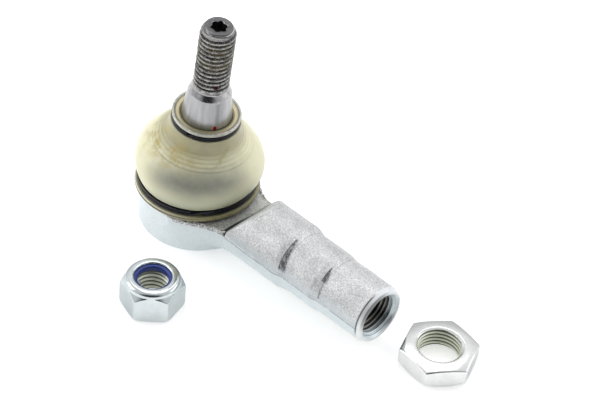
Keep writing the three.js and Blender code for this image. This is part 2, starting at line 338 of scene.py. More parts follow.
def both(first, *others):
    """What is inside all of these distance fields."""
    for other in others:
        first = np.maximum(first, other)
    return first


def either(first, *others):
    """What is inside any of these distance fields."""
    for other in others:
        first = np.minimum(first, other)
    return first


def join_field(a, b, blend):
    """Union of two distance fields, with a fillet."""
    share = np.clip(0.5 + 0.5 * (b - a) / blend, 0, 1)
    return b + (a - b) * share - blend * share * (1 - share)


def cut_field(a, b, blend):
    """What is inside both fields, with a rounded edge."""
    return -join_field(-a, -b, blend)


def surface_net(field, low, high, cell):
    """Points and quads of the closed surface on which field(x, y, z) is zero, cut off flat where it
    would pass the low or the high corner."""

    def held(x, y, z):
        value = field(x, y, z)
        for place, least, most in zip((x, y, z), low, high):
            value = both(value, least - place, place - most)
        return value

    axes = [np.arange(a - 1.5 * cell, b + 1.6 * cell, cell) for a, b in zip(low, high)]
    value = held(*np.meshgrid(*axes, indexing="ij"))
    cells = np.array(value.shape) - 1
    total = np.zeros((int(cells.prod()), 3))
    count = np.zeros(int(cells.prod()))
    quads = []
    for axis in range(3):
        here = [slice(None)] * 3
        there = [slice(None)] * 3
        here[axis] = slice(None, -1)
        there[axis] = slice(1, None)
        start, end = value[tuple(here)], value[tuple(there)]
        at = np.argwhere((start < 0) != (end < 0))
        a, b = start[tuple(at.T)], end[tuple(at.T)]
        point = at.astype(float)
        point[:, axis] += a / (a - b)
        corners = []
        for back_u, back_w in ((1, 1), (0, 1), (0, 0), (1, 0)):
            cell_at = at.copy()
            cell_at[:, (axis + 1) % 3] -= back_u
            cell_at[:, (axis + 2) % 3] -= back_w
            flat = np.ravel_multi_index(cell_at.T, cells)
            corners.append(flat)
            count += np.bincount(flat, minlength=len(count))
            for k in range(3):
                total[:, k] += np.bincount(flat, weights=point[:, k], minlength=len(count))
        quad = np.stack(corners, 1)
        quad[a > 0] = quad[a > 0][:, ::-1]
        quads.append(quad)
    used = np.flatnonzero(count)
    number = np.zeros(len(count), np.int64)
    number[used] = np.arange(len(used))
    points = total[used] / count[used, None]
    points = points * cell + np.array([a[0] for a in axes])
    return settle(held, points, cell), number[np.vstack(quads)].tolist()


def settle(field, points, cell):
    """Moves points onto the surface itself, each by less than a cell."""
    start = points.copy()
    nudge = 0.05 * cell
    for _ in range(4):
        slope = np.empty_like(points)
        for k in range(3):
            step = np.zeros(3)
            step[k] = nudge
            slope[:, k] = field(*(points + step).T) - field(*(points - step).T)
        slope /= 2 * nudge
        steep = np.maximum((slope**2).sum(1), 0.2)
        points = points - slope * (field(*points.T) / steep)[:, None]
        points = start + np.clip(points - start, -0.7 * cell, 0.7 * cell)
    return points


def waves(x, y, z, size, seed):
    """A cheap smooth unevenness between about -1 and 1, with bumps of about this size."""
    chance = np.random.default_rng(seed)
    total = 0
    for _ in range(7):
        direction = chance.normal(size=3)
        direction *= TAU / (size * (0.7 + chance.random())) / np.linalg.norm(direction)
        phase = chance.random() * TAU
        total = total + np.sin(x * direction[0] + y * direction[1] + z * direction[2] + phase)
    return total / 3.5


# ---------- threads ----------


def thread_depth(turns):
    """0 on a thread's crest and 1 in its root."""
    from_crest = 1 - np.abs(2 * (turns % 1) - 1)
    return ramp(0.1, 0.9, from_crest, 0.05)


def threaded_sleeve(sizes, low, high, mouth_r, wall_r, slope, end=None, columns=144):
    """A thin closed sleeve, threaded inside and countersunk at both ends by slope millimetres of
    radius for each one of depth. end gives it a flat top face and a chamfer round that: the face's
    radius, the chamfer's and its height."""
    outer, inner, pitch = sizes
    angle = np.arange(columns) * TAU / columns
    heights = np.arange(high - 0.06, low + 0.03, -0.14)
    depth = thread_depth((heights[:, None] - pitch * angle / TAU) / pitch)
    thread = outer - (outer - inner) * depth
    sink = mouth_r - slope * np.minimum(high - heights, heights - low)
    thread = np.maximum(thread, sink[:, None])
    rows = [(mouth_r + 0.04, high), (mouth_r, high - 0.03), *zip(thread, heights)]
    rows += [(mouth_r, low), (wall_r, low)]
    if end is None:
        rows.append((wall_r, high))
    else:
        face_r, chamfer_r, chamfer = end
        edge = high - chamfer
        rows += [
            (wall_r, edge - 0.6), (chamfer_r - 0.25, edge - 0.6), (chamfer_r - 0.03, edge - 0.15),
            (chamfer_r - 0.03, edge), (chamfer_r - 0.2, edge + 0.3), (face_r + 0.2, high - 0.3),
            (face_r + 0.05, high - 0.07), (face_r - 0.15, high), (mouth_r + 0.15, high),
        ]
    return turned(rows, columns)


# ---------- materials ----------


class Value:
    """A node's output. Arithmetic on it adds the nodes that do the sum."""

    def __init__(self, surface, socket):
        self.surface = surface
        self.socket = socket

    def __add__(self, other):
        return self.surface.math("ADD", self, other)

    def __sub__(self, other):
        return self.surface.math("SUBTRACT", self, other)

    def __rsub__(self, other):
        return self.surface.math("SUBTRACT", other, self)

    def __mul__(self, other):
        return self.surface.math("MULTIPLY", self, other)

    def __abs__(self):
        return self.surface.math("ABSOLUTE", self)


class Surface:
    """A Principled material whose nodes are added by short calls, in millimetres."""

    def __init__(self, name, **sockets):
        self.material = bpy.data.materials.new(name)
        self.material.use_nodes = True
        self.nodes = self.material.node_tree.nodes
        self.shader = self.nodes["Principled BSDF"]
        self.shader.inputs["Emission Color"].default_value = (1, 1, 1, 1)
        for socket, value in sockets.items():
            self.shader.inputs[socket.replace("_", " ")].default_value = value
        place = self.add("TexCoord", {}, "Object")
        self.place = self.add("VectorMath", {0: place, "Scale": 1 / MM}, operation="SCALE")

    def put(self, value, socket):
        """Links an output, or sets a plain value."""
        if isinstance(value, Value):
            self.material.node_tree.links.new(value.socket, socket)
        else:
            socket.default_value = value

    def add(self, kind, inputs, output=0, **settings):
        """One output of a new node with these inputs and settings."""
        node = self.nodes.new("ShaderNode" + kind)
        for name, setting in settings.items():
            setattr(node, name, setting)
        for name, value in inputs.items():
            self.put(value, node.inputs[name])
        return Value(self, node.outputs[output])

    def math(self, operation, a, b=0.0):
        return self.add("Math", {0: a, 1: b}, operation=operation)

    def most(self, a, b):
        return self.math("MAXIMUM", a, b)

    def angle(self, rise, across):
        return self.math("ARCTAN2", rise, across)

    def distance(self, a, b):
        """Length of the vector with these two parts."""
        return self.math("SQRT", a * a + b * b)

    def along_stud(self):
        """Coordinates from the ball's centre, turned so that the stud's own axis is Z."""
        from_ball = self.add("VectorMath", {0: self.place, 1: tuple(BALL)}, operation="SUBTRACT")
        turn = {"Vector": from_ball, "Axis": (0, 1, 0), "Angle": -LEAN}
        return self.add("VectorRotate", turn, rotation_type="AXIS_ANGLE")

    def split(self, vector=None):
        node = self.nodes.new("ShaderNodeSeparateXYZ")
        self.put(vector or self.place, node.inputs[0])
        return [Value(self, output) for output in node.outputs]

    def stretched(self, factors, vector=None):
        return self.add("VectorMath", {0: vector or self.place, 1: factors}, operation="MULTIPLY")

    def noise(self, size, detail=4.0, roughness=0.6, vector=None):
        """Cloudy noise from 0 to 1, with patches of about this size."""
        inputs = {"Scale": 1 / size, "Detail": detail, "Roughness": roughness}
        return self.add("TexNoise", {**inputs, "Vector": vector or self.place}, "Fac")

    def band(self, value, low, high):
        """0 below low, 1 above high, smooth between. With low above high it falls instead."""
        inputs = {"Value": value, "From Min": min(low, high), "From Max": max(low, high)}
        inputs["To Min"], inputs["To Max"] = (0.0, 1.0) if low < high else (1.0, 0.0)
        return self.add("MapRange", inputs, interpolation_type="SMOOTHSTEP")

    def between(self, value, low, high, soft):
        """1 where value lies between low and high."""
        return self.band(value, low - soft, low + soft) * self.band(value, high + soft, high - soft)

    def level(self, value, low, high):
        """A 0 to 1 value spread from low to high."""
        return value * (high - low) + low

    def mix(self, share, a, b):
        """a where share is 0, and b where it is 1."""
        inputs = {"Factor": share, "A": colour(a), "B": colour(b)}
        return self.add("Mix", inputs, "Result", data_type="RGBA")

    def layered(self, base, *layers):
        """base under (share, colour) layers, the first lowest."""
        for share, tone in layers:
            base = self.mix(share, base, tone)
        return base

    def bump(self, height, distance, strength=1.0, under=None):
        inputs = {"Strength": strength, "Distance": distance * MM, "Height": height}
        if under is not None:
            inputs["Normal"] = under
        return self.add("Bump", inputs)

    def finish(self, base, roughness=None, metallic=None, normal=None):
        named = {"Base Color": base, "Roughness": roughness, "Metallic": metallic, "Normal": normal}
        for socket, value in named.items():
            if value is not None:
                self.put(value, self.shader.inputs[socket])
        return self.material


def colour(value):
    """A colour with its alpha, or the output of a node as it is."""
    return value if isinstance(value, Value) else (*value, 1.0)


def worn_mark(s, x_at, angle_at, half_angle, width):
    """A dark scuff on the shank. It starts sharply at x_at, is ragged on its far side and gets wider
    down the near side. The angles are degrees round the shank."""
    x, y, z = s.split()
    reach = math.radians(half_angle)
    off = s.angle(z - SHANK_Z, y) - math.radians(angle_at)
    past = x - x_at
    ragged = s.level(s.noise(0.8, 5, 0.75), -1.3, 1.3)
    far = past + ragged + off * (-0.55 * width / reach)
    starts = s.band(past + ragged * 0.25, -0.2, 0.15)
    across = starts * s.band(far, width, width * 0.6)
    ends = s.band(abs(off) + ragged * 0.08, reach, reach * 0.78)
    streaks = s.noise(0.40, 3, 0.6, s.stretched((1, 0.25, 0.25)))
    solid = s.most(s.band(streaks, 0.4, 0.56), s.band(past, 0.5, 0.1))
    return across * ends * s.level(solid, 0.45, 1.0)


def forged_zinc():
    """Shot-blasted and zinc-plated forging: speckled above, paler and bluer below as painted light
    from the floor, painted shade on the land and at the steps, oil up the ramp's foot.
    """
    s = Surface("forged_zinc")
    x, y, z = s.split()
    grain = s.noise(0.6, 6, 0.8)
    flecks = s.noise(0.34, 3, 0.7)
    base = speckled_zinc(s, grain, flecks)
    # Painted light and shade below and along the parting line
    base = painted_underside_shading(s, base, x, z)
    # Painted shade on the land and at the ramp's foot, and oil up the ramp
    base = ramp_oil_and_land_shade(s, base, x, y, z)
    first = worn_mark(s, STEP_ONE[0] + 2.0, 136, 35, 2.4)
    second = worn_mark(s, STEP_TWO[0] + 2.5, 124, 17, 1.9)
    # thin is painted shade, a dark line at the end of step two; first and second are worn marks
    thin = worn_mark(s, STEP_TWO[1] - 0.3, 150, 24, 0.5)
    marks = s.most(s.most(first, second), thin * 0.7)
    # Painted shade in the corners at the steps
    step_shade = painted_step_shade(s, x, z)
    base = s.layered(
        base, (marks * 0.95, (0.045, 0.047, 0.055)), (step_shade * 0.5, (0.28, 0.29, 0.3))
    )
    normal = s.bump(grain, 0.14, 0.9, s.bump(flecks, 0.05, 0.9))
    rough = s.level(s.band(grain, 0.3, 0.7), 0.42, 0.58)
    return s.finish(base, rough, s.level(marks, 0.58, 0.30), normal)


def speckled_zinc(s, grain, flecks):
    patches = s.noise(7, 5, 0.65)
    pale = s.mix(s.band(patches, 0.32, 0.68), (0.56, 0.57, 0.575), (0.75, 0.755, 0.75))
    pale = s.mix(s.band(grain, 0.34, 0.60), (0.31, 0.32, 0.325), pale)
    return s.mix(s.band(flecks, 0.54, 0.66) * 0.95, pale, (1.0, 1.0, 0.99))


def painted_underside_shading(s, base, x, z):
    """The lower half paler and bluer as painted light from the floor, a band of painted shade up the
    shank's near flank, and the parting line as a dark line of painted shade under its ridge.
    """
    # Painted light from the floor: paler and bluer below the parting line
    below = s.band(z, PARTING_Z + 0.3, PARTING_Z - 0.7)
    on_head = s.band(x, 24, 16)
    tone = s.mix(on_head, (0.68, 0.755, 0.775), (0.73, 0.80, 0.82))
    clouds = s.noise(3.0, 4, 0.65)
    base = s.mix(below * s.level(clouds, 0.6, 0.9), base, tone)
    # Painted shade: a darker bluish band up the near flank, above the parting line
    flank_top = s.level(clouds, SHANK_Z + 1.5, SHANK_Z + 6.0)
    flank = s.band(z - flank_top, 0.6, -0.6) * s.band(x, 30, 34)
    flank = flank * s.band(z, PARTING_Z - 0.4, PARTING_Z + 0.2)
    base = s.mix(flank * 0.55, base, (0.55, 0.61, 0.63))
    # Painted shade: a dark line just under the parting ridge, broken up by noise
    gap = abs(z - (PARTING_Z - 0.65))
    seam = s.band(x, 27, 30) * s.band(gap, 0.42, 0.18)
    wear = s.band(s.noise(1.8, 4, 0.7), 0.34, 0.52)
    return s.mix(seam * wear * 0.85, base, (0.17, 0.18, 0.185))


def ramp_oil_and_land_shade(s, base, x, y, z):
    """Painted shade and painted reflection of the boot on the land, oil up the ramp's foot, and a
    dark wedge of painted shade where the two meet.
    """
    near_top = s.band(z, HEAD_TOP - 0.5, HEAD_TOP - 0.1)
    # Painted shade and painted reflection of the boot: the land darker and olive, mottled
    land_shade = s.band(x, RAMP_FOOT[0] + 1.2, RAMP_FOOT[0] + 0.2) * near_top * s.band(y, 16, -2)
    oil_and_shade_patches = s.band(s.noise(1.1, 5, 0.8), 0.36, 0.6) + s.band(s.noise(4, 3, 0.6), 0.35, 0.65)
    base = s.mix(land_shade * s.level(oil_and_shade_patches, -0.36, 0.1), base, (0.12, 0.12, 0.075))
    up_ramp = s.band(x, RAMP_FOOT[0], RAMP_FOOT[0] + 0.3) * s.between(y, -4, 11, 1.2)
    lower_ramp = up_ramp * s.band(z, HEAD_TOP + 3.4, HEAD_TOP + 2.4)
    base = s.mix(lower_ramp * s.level(oil_and_shade_patches, 0.34, 0.54), base, (0.33, 0.32, 0.22))
    # Painted shade: a dark wedge at the ramp's foot, widest on the near side
    from_foot = abs(x - (RAMP_FOOT[0] + 0.15))
    width = s.band(y, 8, -10) * 1.0 + 0.42
    inside = s.band(width - from_foot, 0.0, 0.22)
    crease = inside * near_top * s.band(z, HEAD_TOP + 1.4, HEAD_TOP + 0.7) * s.band(y, 15, 11)
    depth = s.level(s.band(y, 7, -5), 0.42, 0.95)
    return s.mix(crease * depth, base, (0.022, 0.022, 0.019))


def painted_step_shade(s, x, z):
    """Thin broken lines of painted shade in the corners that the dies left at the foot of each step.
    """
    broken = s.band(s.noise(2.6, 4, 0.7), 0.42, 0.56)
    places = (STEP_ONE[1] - 0.1, STEP_TWO[0] + 0.2, STEP_TWO[1] + 0.1)
    first, second, third = (s.band(abs(x - at), 0.34, 0.12) for at in places)
    step_shade = s.most(s.most(first, second * 0.5), third)
    return step_shade * broken * s.band(z, SHANK_Z, SHANK_Z + 2)


def trimmed_flash():
    """Torn bright metal where the flash was cut off round the land."""
    s = Surface("trimmed_flash")
    tears = s.noise(0.75, 6, 0.85)
    sparkle = s.noise(0.35, 3, 0.7)
    base = s.mix(s.band(tears, 0.43, 0.56), (0.07, 0.07, 0.065), (0.70, 0.71, 0.70))
    base = s.mix(s.band(sparkle, 0.54, 0.62), base, (1.0, 1.0, 1.0))
    rough = s.level(sparkle, 0.25, 0.5)
    return s.finish(base, rough, s.level(tears, 0.6, 0.9), s.bump(tears, 0.3, 1.0))


def machined_zinc():
    """Bright plated metal with turning marks round the shank's axis; painted shade down the bore and
    in its thread's roots, on one side of the end face and in a thin line at the chamfer's outer edge.
    """
    s = Surface("machined_zinc")
    x, y, z = s.split()
    radius = s.distance(y, z - SHANK_Z)
    rings = s.noise(0.5, 4, 0.7, s.stretched((1, 0.06, 0.06)))
    # Painted shade down the threaded bore, from about 2 mm in
    down = s.band(x, SHANK_END - 1.9, SHANK_END - 5)
    past_sink = radius - (x - SHANK_END + BORE_MOUTH_R)
    inside = s.band(past_sink, 0.04, 0.1) * s.band(radius, 9.3, 9.1)
    root = inside * s.band(radius, 8.3, 8.8)
    bright = s.mix(s.noise(2.5, 4, 0.6), (0.62, 0.66, 0.68), (0.80, 0.83, 0.84))
    sunk = s.band(radius, BORE_MOUTH_R, BORE_MOUTH_R - 0.4) * 0.55
    grooved = s.mix(s.band(rings, 0.35, 0.65), (0.20, 0.25, 0.27), (0.60, 0.70, 0.74))
    bright = s.mix(sunk, bright, grooved)
    # The bore's thread in painted shade, darkest in its roots
    thread = s.mix(root, (0.27, 0.27, 0.245), (0.065, 0.07, 0.063))
    base = s.mix(down * inside, bright, thread)
    rim = s.band(radius, BORE_MOUTH_R + 0.02, BORE_MOUTH_R + 0.2)
    base = s.mix(rim, base, s.mix(s.noise(1.5, 4, 0.7), (0.66, 0.69, 0.70), (0.86, 0.88, 0.88)))
    round_shank = s.angle(z - SHANK_Z, y)
    shaded = rim * side_of(s, round_shank, 128, 62) * s.band(x, SHANK_END - 0.9, SHANK_END - 0.3)
    # Painted shade: a thin dark line at the chamfer's outer edge, on the near side
    edge = s.band(abs(x - (FORGED_TO + 0.15)), 0.42, 0.15)
    edge = edge * s.band(y, -1, -5) * s.band(z, SHANK_Z - 5, SHANK_Z)
    base = s.layered(
        base, (shaded * 0.85, (0.16, 0.165, 0.17)), (edge * rim * 0.85, (0.05, 0.05, 0.055))
    )
    rough = s.level(rings, 0.28, 0.46) + rim * 0.16
    metal = s.level(rim, 0.92, 0.6)
    return s.finish(base, rough, metal, s.bump(rings, 0.02, 0.6))


def stud_steel():
    """Ground steel: satin taper, oily thread with worn crests, blackened tip with painted shade
    inside the socket in it.
    """
    s = Surface("stud_steel")
    own = s.along_stud()
    u, v, w = s.split(own)
    radius = s.distance(u, v)
    about = s.angle(v, u)
    streaks = s.noise(2.2, 3, 0.5, s.stretched((1, 1, 0.06), own))
    turning = s.noise(0.5, 3, 0.6, s.stretched((0.12, 0.12, 1), own))
    clouds = s.noise(2.6, 6, 0.75, own)
    threads = s.between(w, THREAD[0] + 0.1, THREAD[1] + 0.3, 0.25)
    chamfer = (TIP_AT - w) * TIP_SLOPE + TIP_R
    crest_r = s.math("MINIMUM", chamfer, STUD_THREAD[0])
    groove = threads * s.band(crest_r - radius, 0.1, 0.62)
    steel = s.mix(s.band(streaks, 0.35, 0.68), (0.33, 0.33, 0.335), (0.43, 0.43, 0.43))
    crest = s.mix(s.band(clouds, 0.42, 0.58), (0.26, 0.255, 0.24), (0.74, 0.73, 0.71))
    base = s.mix(threads, steel, crest)
    nicks = s.noise(0.55, 4, 0.8, own)
    tool_marks = s.noise(0.42, 3, 0.7, s.stretched((0.05, 0.05, 1), own))
    on_chamfer = s.band(w, TIP_AT - 3.2, TIP_AT - 2.6)
    cut = s.mix(s.band(tool_marks, 0.44, 0.54), (0.10, 0.098, 0.095), (0.46, 0.455, 0.445))
    stain = s.between(w, 62, 74, 3) * s.band(s.noise(3, 4, 0.6, own), 0.35, 0.65)
    oil = s.mix(stain, (0.040, 0.040, 0.038), (0.105, 0.088, 0.035))
    tip = s.band(w, TIP_AT - 0.25, TIP_AT - 0.08) * s.band(radius, TIP_R + 0.1, TIP_R - 0.1)
    black = s.mix(s.noise(0.9, 4, 0.7), (0.06, 0.06, 0.061), (0.17, 0.17, 0.175))
    # Painted shade inside the socket in the tip
    recess_shade = s.band(radius, 3.7, 3.4) * s.band(w, TIP_AT - 0.15, TIP_AT - 0.8)
    shoulder = s.between(w, TAPER[1] + 0.3, THREAD[0] - 0.4, 0.3)
    scuffs = s.band(s.noise(1.6, 5, 0.75, own), 0.50, 0.62)
    base = s.layered(
        base,
        (on_chamfer * 0.95, cut),
        (groove, oil),
        (stain * 0.35, (0.2, 0.17, 0.09)),
        (threads * s.band(nicks, 0.44, 0.36) * 0.7, (0.07, 0.065, 0.045)),
        (threads * s.band(nicks, 0.56, 0.63) * 0.6, (0.88, 0.87, 0.84)),
        (tip, black),
        (recess_shade, (0.012, 0.012, 0.013)),
        (shoulder * scuffs * 0.45, (0.16, 0.15, 0.145)),
        (paint_dot(s, w, about, 36.6, -0.46, 0.95, 1.3), (0.33, 0.006, 0.012)),
        (paint_dot(s, w, about, 54.5, -0.55, 0.7, 0.45), (0.06, 0.006, 0.008)),
    )
    bevel = s.between(w, TAPER[1], THREAD[0] - 0.2, 0.3)
    rough = s.level(streaks, 0.27, 0.38) + s.level(groove, 0, 0.2)
    rough = rough - bevel * 0.22 + on_chamfer * 0.12
    dents = threads * s.band(s.noise(0.9, 4, 0.8, own), 0.35, 0.65)
    normal = s.bump(dents, 0.4, 0.9, s.bump(turning, 0.012, 0.5))
    metal = s.level(groove, 0.95, 0.35) - tip * 0.4
    return s.finish(base, rough, metal, normal)


def paint_dot(s, w, about, w_at, angle_at, size, narrow):
    """A small inspector's dot at this place along and round the stud, narrow times taller than
    wide."""
    aside = (about - angle_at) * TAPER_R[0]
    away = s.distance(w - w_at, aside * narrow)
    ragged = away + s.level(s.noise(0.8, 3, 0.6), -0.3, 0.3)
    return s.band(ragged, size + 0.12, size - 0.12)


def boot_rubber():
    """Cream polyurethane that lets some light through, with grease smears under its upper clip.
    Painted shade darkens its belly, its lower part and its neck, and lines in its moulding rings;
    painted highlight and shade lines run round the flange's near side.
    """
    s = Surface("boot_rubber", Subsurface_Weight=0.25, Subsurface_Radius=(2.6, 2.0, 1.1),
                Subsurface_Scale=0.8 * MM, Specular_IOR_Level=0.45, Coat_Weight=0.12,
                Coat_Roughness=0.25)
    x, y, z = s.split()
    clouds = s.noise(7, 4, 0.55)
    round_boot = s.angle(y, x)
    cream = s.mix(s.band(clouds, 0.3, 0.7), (0.68, 0.66, 0.44), (0.74, 0.72, 0.50))
    # Painted shade: a dark grey band round the belly on one side
    belly = s.between(z + s.level(clouds, -1.5, 1.5), 31, 39.8, 4.8)
    belly_shade = belly * side_of(s, round_boot, -45, 66) * s.level(s.noise(3.2, 3, 0.6), 0.75, 1.0)
    # Painted shade: the lower part darker and olive on one side
    low = s.band(z, 34, 26) * side_of(s, round_boot, -36, 88)
    # Painted shade: darker and mottled up the neck towards the top clip
    neck = s.band(z, 40.5, 46) * s.level(s.noise(4, 4, 0.6), 0.7, 1.0)
    # Painted shade in the moulding rings, on one side
    groove_shade = groove_shade_lines(s) * side_of(s, round_boot, -52, 75)
    patchy = s.band(s.noise(4.2, 4, 0.65), 0.38, 0.66)
    smear = patchy * s.between(z, 39.5, 48, 3) * side_of(s, round_boot, -98, 62)
    specks = s.band(s.noise(1.3, 5, 0.75), 0.55, 0.66)
    flecked = specks * s.between(z, 39.5, 48.5, 2.5) * side_of(s, round_boot, -88, 66)
    slanting = s.between(z - round_boot * 14, 46.2, 47.8, 0.8)
    streak = slanting * s.band(s.noise(1.6, 4, 0.7), 0.4, 0.58) * s.between(z, 41, 48, 1.5)
    foot = s.band(z, BOTTOM_CLIP_Z[0] + 0.4, FLANGE_Z[1] - 0.4)
    brown = s.mix(s.noise(1.6, 4, 0.6), (0.11, 0.097, 0.042), (0.36, 0.325, 0.15))
    # Painted highlight in two pale lines and painted shade in a dark line between, on the flange's
    # near side
    flange_painted_side = side_of(s, round_boot, -125, 95)
    lines = [s.between(z, FLANGE_Z[0] + a, FLANGE_Z[0] + b, 0.08) for a, b in FLANGE_LIGHT_AND_SHADE_LINES]
    base = s.layered(
        cream,
        (belly_shade * 0.92, (0.15, 0.162, 0.155)),
        (low * 0.72, (0.37, 0.395, 0.285)),
        (neck * 0.88, (0.25, 0.235, 0.125)),
        (groove_shade * 0.28, (0.2, 0.2, 0.14)),
        (smear, (0.43, 0.355, 0.13)),
        (flecked * 0.4, (0.34, 0.27, 0.1)),
        (streak * 0.8, (0.33, 0.28, 0.11)),
        (foot, brown),
        ((lines[0] + lines[2]) * flange_painted_side * 0.8, (0.8, 0.79, 0.68)),
        (lines[1] * flange_painted_side, (0.035, 0.032, 0.015)),
    )
    rough = s.level(s.noise(2.2, 4, 0.6), 0.34, 0.46)
    normal = s.bump(s.noise(0.6, 3, 0.6), 0.012, 0.5)
    return s.finish(base, rough, None, normal)


def groove_shade_lines(s):
    """Thin lines of painted shade in each moulding groove of the boot's upper half."""
    along = s.split(s.along_stud())[2] + BALL[2]
    lines = 0.0
    for height in groove_heights():
        lines = s.most(lines, s.band(abs(along - height), 0.34, 0.08))
    return lines


def side_of(s, angle, middle, reach):
    """1 on the side of a round piece that lies near this angle in degrees, fading to 0 at its
    reach."""
    facing = s.math("COSINE", angle - math.radians(middle))
    return s.band(facing, math.cos(math.radians(reach)), 1.0)


def clip_black():
    s = Surface("clip_black", Metallic=0.1, Specular_IOR_Level=0.22, Coat_Weight=0.05,
                Coat_Roughness=0.2)
    scratches = s.noise(0.9, 4, 0.7, s.stretched((1, 1, 5)))
    base = s.mix(s.band(scratches, 0.45, 0.75), (0.004, 0.0045, 0.008), (0.016, 0.018, 0.028))
    return s.finish(base, s.level(scratches, 0.24, 0.42), None, s.bump(scratches, 0.015, 0.5))


def ring_steel():
    """Dull pressed steel, greasy on its floor and worn on its raised rim."""
    s = Surface("ring_steel")
    u, v, _ = s.split(s.along_stud())
    radius = s.distance(u, v)
    wear = s.noise(1.4, 5, 0.65)
    specks = s.band(s.noise(0.5, 3, 0.7), 0.58, 0.70)
    rim = s.mix(s.band(wear, 0.35, 0.65), (0.34, 0.34, 0.29), (0.52, 0.52, 0.46))
    rim = s.mix(specks * 0.5, rim, (0.58, 0.6, 0.57))
    grease = s.mix(s.noise(2, 4, 0.6), (0.38, 0.335, 0.19), (0.57, 0.52, 0.34))
    base = s.mix(s.band(radius, 12.5, 11.8), rim, grease)
    metal = s.level(wear, 0.5, 0.7)
    return s.finish(base, s.level(wear, 0.32, 0.50), metal, s.bump(wear, 0.03, 0.5))


def bright_zinc(name, tones, centre, thread_r, mouth_r, sleeve_top):
    """Bright plated nut in two close tones, with a pale olive thread inside whose crests are painted
    paler as painted light and whose roots are painted dark as painted shade.
    """
    s = Surface(name, Specular_Tint=NUT_EDGE_TINT)
    x, y, z = s.split()
    radius = s.distance(x - centre[0], y - centre[1])
    clouds = s.noise(4, 4, 0.6)
    specks = s.band(s.noise(0.8, 4, 0.75), 0.63, 0.70)
    base = s.mix(s.band(clouds, 0.3, 0.7), *tones)
    base = s.mix(specks * 0.45, base, (0.42, 0.43, 0.44))
    depth = s.math("MINIMUM", z, sleeve_top - z)
    past_sink = depth * NUT_SINK_SLOPE + (radius - mouth_r)
    inside = s.band(past_sink, 0.05, 0.12) * s.band(radius, thread_r + 0.2, thread_r)
    # The thread: pale crests as painted light, dark roots as painted shade
    root = s.band(radius, thread_r - 0.75, thread_r - 0.25)
    crest = s.mix(s.noise(1.2, 3, 0.6), (0.86, 0.88, 0.72), (0.97, 0.98, 0.87))
    olive = s.mix(root, crest, (0.12, 0.15, 0.09))
    base = s.mix(inside, base, olive)
    rough = s.level(s.noise(1.6, 4, 0.6), 0.07, 0.15) + inside * 0.2
    normal = s.bump(s.noise(1.1, 4, 0.6), 0.025, 0.5)
    return s.finish(base, rough, s.level(inside, 0.92, 0.30), normal)


def blue_nylon():
    s = Surface("blue_nylon", Subsurface_Weight=0.15, Subsurface_Scale=0.6 * MM)
    clouds = s.noise(1.5, 4, 0.6)
    base = s.mix(clouds, (0.008, 0.022, 0.15), (0.022, 0.055, 0.30))
    return s.finish(base, s.level(clouds, 0.28, 0.42), None, s.bump(clouds, 0.02, 0.4))


def hidden_finish(name, dark, light, metallic, rough_low, rough_high):
    """For the pieces inside the housing."""
    s = Surface(name, Metallic=metallic)
    clouds = s.noise(2, 4, 0.6)
    return s.finish(s.mix(clouds, dark, light), s.level(clouds, rough_low, rough_high))


def plated_pressing():
    s = Surface("plated_pressing")
    x, y, _ = s.split()
    radius = s.distance(x, y)
    clouds = s.noise(5, 5, 0.6)
    grain = s.noise(0.6, 4, 0.7)
    base = s.mix(s.band(clouds, 0.3, 0.7), (0.56, 0.58, 0.60), (0.74, 0.76, 0.78))
    seam = s.between(radius, CRIMP_R - 0.5, CRIMP_R, 0.15)
    base = s.mix(seam * 0.7, base, (0.12, 0.12, 0.12))
    metal = s.level(grain, 0.75, 0.9)
    return s.finish(base, s.level(grain, 0.34, 0.5), metal, s.bump(grain, 0.03, 0.6))


def studio_floor():
    s = Surface("studio_floor", Roughness=0.7, Specular_IOR_Level=0.2, Emission_Strength=0.42)
    faint = s.noise(60, 2, 0.5)
    return s.finish(s.mix(faint, (0.85, 0.85, 0.85), (0.87, 0.87, 0.87)))


# ---------- housing ----------


def head_field(x, y, z):
    """The round head, rounded at its foot; the collar that the boot fits over is joined on in
    housing_field.
    """
    radius = np.hypot(x, y)
    foot = 1.2
    side = both(radius - HEAD_R, np.abs(z - HEAD_TOP) - HEAD_TOP)
    out_r = np.maximum(radius - HEAD_R + foot, 0)
    out_z = np.maximum(foot - z, 0)
    bottom = np.hypot(out_r, out_z) - foot
    return both(np.where((out_r > 0) & (out_z > 0), bottom, side), -z), radius


def neck_half_width(x):
    """Half the neck's width at x, hollow between the head and the shank."""
    t = np.clip(x / NECK_END_X, 0, 1)
    wide = HEAD_R - 0.2
    narrow = SHANK_R[0] - 0.9
    waist = smoothstep(0.10, 0.72, t)
    return wide + (narrow - wide) * waist + 0.75 * smoothstep(0.70, 1.0, t)


def ramp(low, high, value, soft=0.25):
    """0 below low, 1 above high and straight between, with soft corners."""
    rise = np.sqrt((value - low) ** 2 + soft**2) - np.sqrt((value - high) ** 2 + soft**2)
    return 0.5 + rise / (2 * (high - low))


def shank_radius(x):
    thick, middle, thin = SHANK_R
    first = ramp(*STEP_ONE, x)
    second = ramp(*STEP_TWO, x)
    return thick - (thick - middle) * first - (middle - thin) * second


